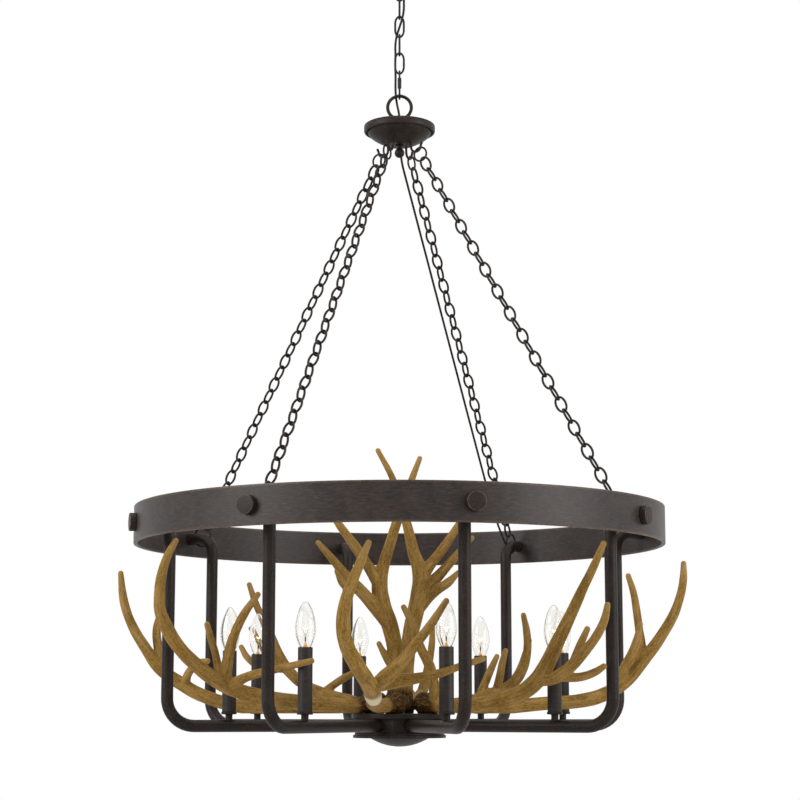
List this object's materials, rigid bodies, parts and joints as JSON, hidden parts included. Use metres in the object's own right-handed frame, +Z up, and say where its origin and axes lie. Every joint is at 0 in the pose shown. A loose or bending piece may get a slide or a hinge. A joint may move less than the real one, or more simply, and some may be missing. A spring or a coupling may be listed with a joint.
{
  "type": "antler chandelier",
  "caption": "Ring chandelier on four support chains with bent rod arms, cast antlers and candle lamps, hung from a ceiling canopy by a short chain.",
  "frame": {"origin": "middle of the crossbar's top face, in the ceiling plane on the fixture's axis", "axes": "+Z up into the ceiling, -Y towards the room side seen in the picture, +X to its right"},
  "size_m": [0.9145, 0.8384, 1.3248],
  "materials": {
    "rubbed_bronze": "satin hand-rubbed dark bronze paint on steel",
    "sleeve_bronze": "dark bronze candle sleeve",
    "antler_resin": "cast resin antler, tan with brown stain",
    "clear_glass": "clear candle lamp glass",
    "socket_phenolic": "black phenolic socket",
    "zinc_steel": "zinc plated steel",
    "cord_sheath": "black cord sheath"
  },
  "bodies": {
    "ceiling_mount": {"crossbar": "zinc_steel", "canopy_nipple": "zinc_steel", "nipple_locknut": "zinc_steel", "ceiling_canopy": "rubbed_bronze", "canopy_collar": "rubbed_bronze", "ceiling_loop": "rubbed_bronze", "main_cord": "cord_sheath"},
    "chain_link_1": {"chain_link_1": "rubbed_bronze"},
    "chain_link_2": {"chain_link_2": "rubbed_bronze"},
    "chain_link_3": {"chain_link_3": "rubbed_bronze"},
    "chain_link_4": {"chain_link_4": "rubbed_bronze"},
    "chain_link_5": {"chain_link_5": "rubbed_bronze"},
    "quick_link": {"quick_link": "rubbed_bronze", "quick_link_nut": "rubbed_bronze"},
    "fixture": {"antler_1": "antler_resin", "antler_2": "antler_resin", "antler_3": "antler_resin", "antler_4": "antler_resin", "antler_5": "antler_resin", "antler_6": "antler_resin", "antler_7": "antler_resin", "antler_8": "antler_resin", "antler_9": "antler_resin", "antler_10": "antler_resin", "arm_1": "rubbed_bronze", "arm_2": "rubbed_bronze", "arm_3": "rubbed_bronze", "arm_4": "rubbed_bronze", "arm_5": "rubbed_bronze", "arm_6": "rubbed_bronze", "arm_7": "rubbed_bronze", "arm_8": "rubbed_bronze", "ball_finial": "rubbed_bronze", "bottom_finial": "rubbed_bronze", "candle_cups": "rubbed_bronze", "candle_sleeves": "sleeve_bronze", "canopy_hooks": "rubbed_bronze", "feed_cord": "cord_sheath", "fixture_loop": "rubbed_bronze", "hub_block": "rubbed_bronze", "hub_bottom_plate": "rubbed_bronze", "hub_rod": "zinc_steel", "hub_rod_nut": "zinc_steel", "hub_top_plate": "rubbed_bronze", "lamp_sockets": "socket_phenolic", "ring_band": "rubbed_bronze", "ring_bolts": "rubbed_bronze", "support_chain_1": "rubbed_bronze", "support_chain_2": "rubbed_bronze", "support_chain_3": "rubbed_bronze", "support_chain_4": "rubbed_bronze", "top_canopy": "rubbed_bronze"},
    "bulb_1": {"bulb_1": "clear_glass"},
    "bulb_2": {"bulb_2": "clear_glass"},
    "bulb_3": {"bulb_3": "clear_glass"},
    "bulb_4": {"bulb_4": "clear_glass"},
    "bulb_5": {"bulb_5": "clear_glass"},
    "bulb_6": {"bulb_6": "clear_glass"},
    "bulb_7": {"bulb_7": "clear_glass"},
    "bulb_8": {"bulb_8": "clear_glass"}
  },
  "joints": [
    {"name": "link_1_swing", "type": "hinge", "parent": "ceiling_mount", "child": "chain_link_1", "pos_m": [0, 0, -0.07425], "axis": [0, 1, 0], "range_deg": [-15, 15]},
    {"name": "link_2_swing", "type": "hinge", "parent": "chain_link_1", "child": "chain_link_2", "pos_m": [0, 0, -0.1048], "axis": [1, 0, 0], "range_deg": [-20, 20]},
    {"name": "link_3_swing", "type": "hinge", "parent": "chain_link_2", "child": "chain_link_3", "pos_m": [0, 0, -0.1363], "axis": [0, 1, 0], "range_deg": [-15, 15]},
    {"name": "link_4_swing", "type": "hinge", "parent": "chain_link_3", "child": "chain_link_4", "pos_m": [0, 0, -0.1678], "axis": [1, 0, 0], "range_deg": [-20, 20], "deforming": ["main_cord"]},
    {"name": "link_5_swing", "type": "hinge", "parent": "chain_link_4", "child": "chain_link_5", "pos_m": [0, 0, -0.1993], "axis": [0, 1, 0], "range_deg": [-15, 15]},
    {"name": "quick_link_swing", "type": "hinge", "parent": "chain_link_5", "child": "quick_link", "pos_m": [0, 0, -0.2308], "axis": [1, 0, 0], "range_deg": [-20, 20]},
    {"name": "fixture_swing", "type": "hinge", "parent": "quick_link", "child": "fixture", "pos_m": [0, 0, -0.27355], "axis": [0, 1, 0], "range_deg": [-15, 15]},
    {"name": "bulb_1_lift", "type": "slide", "parent": "fixture", "child": "bulb_1", "axis": [0, 0, 1], "range_m": [0, 0.026]},
    {"name": "bulb_2_lift", "type": "slide", "parent": "fixture", "child": "bulb_2", "axis": [0, 0, 1], "range_m": [0, 0.026]},
    {"name": "bulb_3_lift", "type": "slide", "parent": "fixture", "child": "bulb_3", "axis": [0, 0, 1], "range_m": [0, 0.026]},
    {"name": "bulb_4_lift", "type": "slide", "parent": "fixture", "child": "bulb_4", "axis": [0, 0, 1], "range_m": [0, 0.026]},
    {"name": "bulb_5_lift", "type": "slide", "parent": "fixture", "child": "bulb_5", "axis": [0, 0, 1], "range_m": [0, 0.026]},
    {"name": "bulb_6_lift", "type": "slide", "parent": "fixture", "child": "bulb_6", "axis": [0, 0, 1], "range_m": [0, 0.026]},
    {"name": "bulb_7_lift", "type": "slide", "parent": "fixture", "child": "bulb_7", "axis": [0, 0, 1], "range_m": [0, 0.026]},
    {"name": "bulb_8_lift", "type": "slide", "parent": "fixture", "child": "bulb_8", "axis": [0, 0, 1], "range_m": [0, 0.026]}
  ]
}
